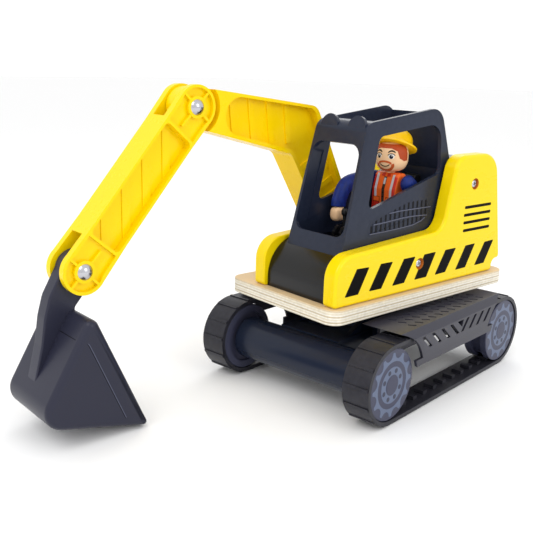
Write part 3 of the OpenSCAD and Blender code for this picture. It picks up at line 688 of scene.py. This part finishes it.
def cab_mesh():
    me = nodes["cab_shell"].data.copy()
    a = me.attributes.get("custom_normal")
    if a:
        me.attributes.remove(a)
    bm = bmesh.new()
    bm.from_mesh(me)
    bmesh.ops.remove_doubles(bm, verts=bm.verts, dist=2e-5)
    bmesh.ops.dissolve_limit(bm, angle_limit=math.radians(0.7), verts=bm.verts, edges=bm.edges)
    bmesh.ops.recalc_face_normals(bm, faces=bm.faces)
    for test, w, seg in ((outer_edge, 2.6, 5), (None, 0.8, 3)):
        pick = []
        for e in bm.edges:
            if len(e.link_faces) != 2 or e.calc_length() < 0.00035:
                continue
            if e.calc_face_angle(0) < math.radians(30 if test else 42):
                continue
            c = (e.verts[0].co + e.verts[1].co) * 500
            if grille(c):
                continue
            if test and not test(c):
                continue
            pick.append(e)
        bmesh.ops.bevel(bm, geom=pick, offset=w / 1000, offset_type="OFFSET", segments=seg, profile=0.5, affect="EDGES", clamp_overlap=True)
    bm.to_mesh(me)
    bm.free()
    soften(me, 38)
    return me


o = add("cab_shell_look", cab_mesh(), "upper", M["slate_plastic"], ("cab_shell",))
weighted(o)


def cab_side(u, v, h):
    return U(wall_x(v, h), u, v)


# a grille under the side window: three ledges tinted lighter as painted highlight, and flat dark patches of painted
# shade between the fins
LEDGES = [[(-50.5, 123.0), (-34.6, 123.2), (-16.9, 123.8), (-3.3, 124.6), (5.9, 126.6), (10.6, 128.9)],
          [(-46.8, 129.5), (-39.4, 129.7), (-28.6, 130.3), (-17.6, 131.0), (-6.2, 131.3), (5.5, 130.9), (12.9, 130.5)],
          [(-30.1, 136.0), (-18.1, 136.6), (-6.7, 136.6), (4.9, 136.5), (16.9, 136.5)]]
CEIL = [(-53, 129.6), (-40, 133.6), (-20, 139.6), (0, 144.2), (10, 146.2), (20, 147)]


def level(line, y):
    if y <= line[0][0]:
        return line[0][1]
    for (a, za), (b, zb) in zip(line, line[1:]):
        if a <= y <= b:
            return za + (zb - za) * (y - a) / (b - a)
    return line[-1][1]


for k, line in enumerate(LEDGES):
    add(f"grille_ledge_{k}", patch_mesh(f"grille_ledge_{k}", band(line, 0.7), cab_side, 6, 0.55), "upper", PRINT_AND_PAINTED_LIGHT["ridge_highlight"])
for k in range(13):
    y = -48.5 + 5.0 * k
    for r in range(3):
        lo = level(LEDGES[r], y) + 0.35
        hi = level(LEDGES[r + 1], y) - 0.35 if r < 2 and y > LEDGES[r + 1][0][0] else level(CEIL, y)
        if y < LEDGES[r][0][0] or y > LEDGES[r][-1][0] or hi - lo < 1.2:
            continue
        hi = min(hi, lo + 5.6)
        pts = [(y - 1.0, lo), (y + 0.9, lo), (y + 0.9, hi), (y - 1.0, hi - 0.5)]
        # each gap is a flat dark patch of painted shade
        add(f"grille_gap_shade_{k}_{r}", patch_mesh(f"grille_gap_shade_{k}_{r}", pts, cab_side, 6, 0.05), "upper", PRINT_AND_PAINTED_LIGHT["cabdark"])
look("seat", "black_plastic", 0.9, 3)
look("lever_console", "black_plastic", 0.35, 2)
look("control_lever", "black_plastic", 0)

# ---- arm -------------------------------------------------------------------------
look("boom_bracket", "golden_plastic", 0.5, 2)
look("boom_arm", "golden_plastic", 0.55, 3, minlen=0.4)
look("stick_arm", "yellow_plastic", 0.55, 3, minlen=0.4)

# bucket: a rounded scoop with a raised lip, a hollow inside and a neck to the pin
BUCKET = rounded([[-239.4, 88, 5], [-199.4, 0, 2.5], [-280, 18.6, 13]], 10)
HOLLOW = rounded([[-240.2, 81, 3], [-190, 95, 0], [-190, 0.95, 0], [-275.2, 20.6, 10]], 8)
NECK = rounded([[-226, 98, 6], [-238, 84, 3], [-240, 60, 0], [-268, 38, 0], [-262, 62, 20], [-259.2, 80, 20],
                [-255.5, 93, 16], [-243.2, 114.6, 3], [-232, 112, 2]], 8)
BX0, BX1 = -70.0, -11.0
PY, PZ = -233.4, 107.6


def cutter(name, pts, x0, x1):
    c = bpy.data.objects.new(name, slab_mesh(name, pts, x0, x1, 1.5, 1.5, side, 3))
    bpy.context.scene.collection.objects.link(c)
    return c


o = add("bucket_scoop", slab_mesh("bucket_scoop", BUCKET, BX0, BX1, 4.6, 4.6, side, 7), "bucket", M["bucket_plastic"], ("bucket_shell",))
cs = [cutter("hollow", HOLLOW, BX0 + 3, BX1 - 3)]
apply_cut(o, cs)
weighted(o)
for c in cs:
    bpy.data.objects.remove(c)
# the lip is a raised frame: a fine step runs round the mouth, drawn as a dark line of painted shadow beside a lighter
# line of painted highlight
SEAM = [(-244.4, 68.2), (-243.2, 66.2), (-219.0, 11.4)]
for nm, x, sg in (("near", BX1, 1), ("far", BX0, -1)):
    me = patch_mesh("lip_" + nm, band(SEAM, 0.5), lambda u, v, h, x=x, sg=sg: U(x + sg * (h - 0.02), u, v), 50, 0.03)
    add("bucket_lip_shadow_line_" + nm, me, "bucket", PRINT_AND_PAINTED_LIGHT["cabdark"])
    me = patch_mesh("ridge_" + nm, band([(a + 0.5, b + 0.25) for a, b in SEAM], 0.45), lambda u, v, h, x=x, sg=sg: U(x + sg * (h - 0.04), u, v), 50, 0.05)
    add("bucket_lip_highlight_" + nm, me, "bucket", PRINT_AND_PAINTED_LIGHT["ridge_highlight"])
me = patch_mesh("lip_front", [(-64.5, 20.0), (-16.5, 20.0), (-16.5, 20.5), (-64.5, 20.5)],
                lambda u, v, h: U(u, -239.4 - 0.505 * v - 0.863 * h, 88 - 0.863 * v + 0.505 * h), 50, 0.04)
add("bucket_lip_shadow_line_front", me, "bucket", PRINT_AND_PAINTED_LIGHT["cabdark"])
hole = [Vector((PY + 2.3 * math.cos(2 * math.pi * k / 36), PZ + 2.3 * math.sin(2 * math.pi * k / 36))) for k in range(36)]
lug = [Vector((PY + 12.6 * math.cos(2 * math.pi * k / 72), PZ + 12.6 * math.sin(2 * math.pi * k / 72))) for k in range(72)]
for name, pts in (("bucket_neck", NECK), ("bucket_lug", lug)):
    o = add(name, slab_mesh(name, pts, -49.8, -38.2, 1.2, 1.2, side, 5), "bucket", M["bucket_plastic"])
    cs = [cutter("bore", hole, -60, -30), cutter("hollow", HOLLOW, BX0 + 3, BX1 - 3)]
    apply_cut(o, cs)
    weighted(o)
    for c in cs:
        bpy.data.objects.remove(c)

# ---- driver ------------------------------------------------------------------------
DX, DY = 13.6, 0.4
look("driver_legs", "blue_cloth_paint", 1.2, 3)

vest = rounded([[-7, 122.1, 2.2], [-8, 148, 4], [-4.4, 160.5, 3.2], [5, 160.5, 3.2], [7.5, 148, 4], [7, 122.1, 2.2]], 6)
vest = [Vector((p.x + DY, p.y)) for p in vest]
me = slab_mesh("torso", vest, DX - 11.5, DX + 11.5, 2.0, 2.0, side, 4)
add("driver_torso_look", me, "driver", M["orange_vest"], ("driver_torso",))


def chest(u, v, h):
    """Front of the vest: u across from the middle, v height."""
    best = None
    for i in range(len(vest)):
        a, b = vest[i - 1], vest[i]
        if a.y == b.y or not (min(a.y, b.y) - 1e-6 <= v <= max(a.y, b.y) + 1e-6):
            continue
        y = a.x + (b.x - a.x) * (v - a.y) / (b.y - a.y)
        if best is None or y < best:
            best = y
    if best is None:
        best = DY - 4
    bend = max(0, abs(u) - 9.5)
    return U(DX + u, best + 0.22 * bend * bend - h, v)


def vest_print(name, pts, mat, h=0.1):
    add(name, patch_mesh(name, pts, chest, 1.2, h), "driver", mat)


# the red on the vest's sides, pocket bags and collar is painted shade on the orange
for sg in (-1, 1):
    vest_print(f"vest_side_shade_{sg + 1}", [(sg * 8.6, 123), (sg * 10.9, 123), (sg * 10.9, 158), (sg * 8.6, 158)], PRINT_AND_PAINTED_LIGHT["vest_shade"])
    vest_print(f"vest_strap_{sg + 1}", [(sg * 6.2, 142), (sg * 8.4, 142), (sg * 8.6, 159.6), (sg * 6.6, 159.6)], PRINT_AND_PAINTED_LIGHT["strap"], 0.14)
    vest_print(f"vest_pocket_{sg + 1}", [(sg * 3.0, 130), (sg * 9.3, 130), (sg * 9.3, 142.2), (sg * 3.0, 142.2)], PRINT_AND_PAINTED_LIGHT["line"], 0.12)
    vest_print(f"vest_flap_{sg + 1}", [(sg * 3.4, 138.4), (sg * 8.9, 138.4), (sg * 8.9, 141.8), (sg * 3.4, 141.8)], M["orange_vest"], 0.18)
    vest_print(f"vest_bag_{sg + 1}", [(sg * 3.4, 130.4), (sg * 8.9, 130.4), (sg * 8.9, 137.9), (sg * 3.4, 137.9)], PRINT_AND_PAINTED_LIGHT["vest_shade"], 0.18)
    vest_print(f"vest_collar_{sg + 1}", [(sg * 0.8, 157.4), (sg * 4.8, 158), (sg * 3.6, 159.9), (sg * 1.2, 159.9)], PRINT_AND_PAINTED_LIGHT["vest_shade"], 0.14)
vest_print("vest_zip", [(-1.3, 123), (1.3, 123), (1.3, 157.5), (-1.3, 157.5)], PRINT_AND_PAINTED_LIGHT["zip"], 0.14)
for k in range(9):
    vest_print(f"vest_tooth_{k}", [(-0.8, 126 + 3.2 * k), (0.8, 126 + 3.2 * k), (0.8, 127 + 3.2 * k), (-0.8, 127 + 3.2 * k)], PRINT_AND_PAINTED_LIGHT["brow"], 0.2)
vest_print("vest_slider", [(-0.9, 152), (0.9, 152), (0.9, 156.6), (-0.9, 156.6)], PRINT_AND_PAINTED_LIGHT["strap"], 0.26)

# head
HY = math.radians(15)
HZ = 172.7
ch, sh = math.cos(HY), math.sin(HY)


def head_place(x, y, z):
    return U(DX + x * ch - y * sh, DY + x * sh + y * ch, z)


def head_r(z):
    t = max(-1, min(1, (z - HZ) / 11.5))
    return 12.4 * (1 - abs(t) ** 2.7) ** (1 / 2.7)


prof = [(3.1, 156), (3.1, 161.0)] + [(head_r(HZ + 11.5 * math.sin(math.radians(a))), HZ + 11.5 * math.sin(math.radians(a))) for a in range(-78, 90, 6)]
me = lathe_mesh("head", prof, 72, head_place, 60)
add("driver_head_look", me, "driver_head_body", M["doll_skin"], ("driver_head",))


def skin(u, v, h):
    r = head_r(v)
    a = u / 12.4
    return head_place((r + h) * math.sin(a), -(r + h) * math.cos(a), v)


def face_print(name, pts, mat, h=0.1):
    add(name, patch_mesh(name, pts, skin, 0.9, h), "driver_head_body", mat)


face_print("hair_band", [(-20, 170.5), (-15.6, 170.2), (-11.6, 172.2), (-9.6, 177.5), (-5, 179.4), (5, 179.4), (9.6, 177.5), (11.6, 172.2), (15.6, 170.2),
                         (20, 170.5), (20, 182.4), (-20, 182.4)], PRINT_AND_PAINTED_LIGHT["hair"])
for sg in (-1, 1):
    face_print(f"eye_white_{sg + 1}", ellipse(sg * 5.1, 173.7, 2.3, 1.95, 20), PRINT_AND_PAINTED_LIGHT["white"], 0.08)
    face_print(f"eye_iris_{sg + 1}", ellipse(sg * 5.0, 173.4, 1.5, 1.6, 18), PRINT_AND_PAINTED_LIGHT["iris"], 0.14)
    face_print(f"eye_spark_{sg + 1}", ellipse(sg * 5.0 + 0.5, 174.2, 0.42, 0.42, 10), PRINT_AND_PAINTED_LIGHT["white"], 0.2)
    face_print(f"eye_lid_{sg + 1}", band([(sg * 5.1 + 2.9 * math.cos(math.radians(t)), 173.2 + 2.5 * math.sin(math.radians(t))) for t in range(25, 156, 10)], 0.55), PRINT_AND_PAINTED_LIGHT["brow"], 0.2)
    face_print(f"brow_{sg + 1}", band([(sg * 5.3 + 3.6 * math.cos(math.radians(t)), 173.9 + 3.8 * math.sin(math.radians(t))) for t in range(40, 141, 10)],
                                     [0.5, 0.8, 1.0, 1.1, 1.15, 1.2, 1.15, 1.1, 1.0, 0.8, 0.5]), PRINT_AND_PAINTED_LIGHT["brow"], 0.12)
face_print("goatee", band([(6.6 * math.cos(math.radians(t)), 166.6 + 4.2 * math.sin(math.radians(t))) for t in range(-200, 21, 10)], 2.5), PRINT_AND_PAINTED_LIGHT["beard"])
face_print("moustache", band([(5.6 * math.cos(math.radians(t)), 167.2 + 2.5 * math.sin(math.radians(t))) for t in range(20, 161, 10)], 1.5), PRINT_AND_PAINTED_LIGHT["beard"], 0.14)
face_print("smile", band([(4.2 * math.cos(math.radians(t)), 168.6 + 2.6 * math.sin(math.radians(t))) for t in range(-160, -19, 10)],
                         [0.3] + [0.7] * 13 + [0.3]), PRINT_AND_PAINTED_LIGHT["brow"], 0.18)

# hard hat, tipped back
TI = math.radians(-24)
ct, st = math.cos(TI), math.sin(TI)


def hat_place(x, y, z):
    y2, z2 = y * ct - z * st + 3.8, y * st + z * ct
    return head_place(x, y2, 180 + z2)


hat = [(11.2, -0.6), (16.0, -0.78), (16.9, -0.5), (17, 0), (17, 0.5), (16.6, 0.9), (14.8, 1.5), (13.4, 2.2), (12.85, 3.4), (12.5, 6), (11.7, 8.2),
       (10.2, 10.2), (8.2, 11.7), (5.6, 12.6), (2.6, 13.1), (0, 13.2)]
me = lathe_mesh("hat", hat, 72, hat_place, 60)
o = add("driver_helmet_look", me, "driver_head_body", M["helmet_yellow"], ("driver_helmet",))
for k, x in enumerate((-4, 0, 4)):
    pts = rounded([[-12.2, 2.2, 0.5], [-10.9, 10.3, 3.5], [-4, 13.9, 5], [4, 13.9, 5], [10.9, 10.3, 3.5], [12.2, 2.2, 0.5]], 6)
    me = slab_mesh(f"hat_ridge_{k}", pts, x - 0.95, x + 0.95, 0.5, 0.5, lambda a, b, c: hat_place(c, a, b), 3)
    add(f"hat_ridge_{k}", me, "driver_head_body", M["helmet_yellow"])


# arms
def smooth_path(pts, n=6):
    out = []
    for i in range(len(pts) - 1):
        p0, p1, p2, p3 = (Vector(pts[max(i - 1, 0)]), Vector(pts[i]), Vector(pts[i + 1]), Vector(pts[min(i + 2, len(pts) - 1)]))
        for k in range(n):
            t = k / n
            out.append(0.5 * ((2 * p1) + (p2 - p0) * t + (2 * p0 - 5 * p1 + 4 * p2 - p3) * t * t + (3 * p1 - p0 - 3 * p2 + p3) * t ** 3))
    out.append(Vector(pts[-1]))
    return out


def sleeve(name, pts, r0, r1, body, node):
    path = smooth_path(pts)
    n = len(path)
    d0 = (path[0] - path[1]).normalized()
    cap = [path[0] + d0 * r0 * math.sin(math.radians(a)) for a in (86, 70, 50, 30, 12)]
    rad = [r0 * math.cos(math.radians(a)) for a in (86, 70, 50, 30, 12)]
    rad += [r0 + (r1 - r0) * i / (n - 1) for i in range(n)]
    d1 = (path[-1] - path[-2]).normalized()
    end = [path[-1] + d1 * 0.5, path[-1] + d1 * 0.7]
    rad += [r1 - 0.25, r1 - 0.9]
    me = tube_mesh(name, cap + path + end, rad, 28, squash=0.71)
    add(name, me, body, M["blue_cloth_paint"], (node,))


def fist(name, c, r, body, ex=(1, 1, 1)):
    verts, faces = [], []
    n, m = 18, 12
    for j in range(m + 1):
        b = math.pi * j / m - math.pi / 2
        for k in range(n):
            a = 2 * math.pi * k / n
            f = lambda t: math.copysign(abs(t) ** 0.72, t)
            verts.append((c[0] + ex[0] * r * f(math.cos(b)) * f(math.cos(a)), c[1] + ex[1] * r * f(math.cos(b)) * f(math.sin(a)), c[2] + ex[2] * r * f(math.sin(b))))
    for j in range(m):
        for k in range(n):
            a, b = j * n + k, j * n + (k + 1) % n
            faces.append((a, b, b + n, a + n))
    add(name, mesh_from(name, verts, faces, P=U, angle=60), body, M["doll_skin"])


sleeve("right_sleeve", [(-2.95, 1, 153.6), (-2.95, -16, 153.4), (-2.95, -31, 150.6), (-2.95, -37, 141), (-2.95, -38, 136)], 6.7, 6.5, "right_arm", "driver_right_arm")
fist("right_hand", (-2.2, -39, 130), 5.4, "right_arm", (0.86, 1.05, 1.05))
sleeve("left_sleeve", [(30.1, 1, 153.6), (30.1, 9, 147), (30.1, 10, 142), (30.0, 2, 137.5), (29.8, -7, 134)], 6.5, 5.8, "left_arm", "driver_left_arm")
fist("left_hand", (29.7, -12.5, 131.8), 4.9, "left_arm", (0.86, 1.05, 1))

# ---- floor, light, camera ------------------------------------------------------------
fm = finish("floor", (246, 246, 246), 0.75, var=0.01, bump=0.02, wear_and_edge_sheen=0, rvar=0.02)
me = mesh_from("floor", [(-9000, -9000, -0.2), (9000, -9000, -0.2), (9000, 9000, -0.2), (-9000, 9000, -0.2)], [(0, 1, 2, 3)])
floor = bpy.data.objects.new("floor", me)
me.materials.append(fm)
bpy.context.scene.collection.objects.link(floor)

w = bpy.data.worlds.new("world")
bpy.context.scene.world = w
w.use_nodes = True
w.node_tree.nodes["Background"].inputs[0].default_value = (1, 1, 1, 1)
w.node_tree.nodes["Background"].inputs[1].default_value = 1.06


def area(name, loc, target, size, power):
    l = bpy.data.lights.new(name, "AREA")
    l.shape = "RECTANGLE"
    l.size = size[0]
    l.size_y = size[1]
    l.energy = power
    o = bpy.data.objects.new(name, l)
    o.location = loc
    o.rotation_euler = (Vector(target) - Vector(loc)).to_track_quat("-Z", "Y").to_euler()
    bpy.context.scene.collection.objects.link(o)


area("key", (0.1, -1.0, 1.1), (-0.03, -0.05, 0.1), (0.7, 0.7), 5)
area("side", (1.1, -0.1, 0.7), (0, 0, 0.1), (0.6, 0.6), 3)
area("rim", (-0.5, 0.9, 0.9), (0, 0, 0.1), (0.6, 0.6), 2)

cam = bpy.data.cameras.new("camera")
cam.lens = 52.10
cam.sensor_width = 36
cam.clip_start = 0.01
cam.clip_end = 60
co = bpy.data.objects.new("camera", cam)
R = Matrix(((0.7395, -0.1895, 0.6460), (0.6727, 0.1707, -0.7200), (0.0262, 0.9670, 0.2537)))
co.matrix_world = Matrix.Translation((0.3365, -0.5001, 0.2375)) @ R.to_4x4()
bpy.context.scene.collection.objects.link(co)
bpy.context.scene.camera = co
bpy.context.scene.view_settings.view_transform = "Standard"

bpy.context.view_layer.update()
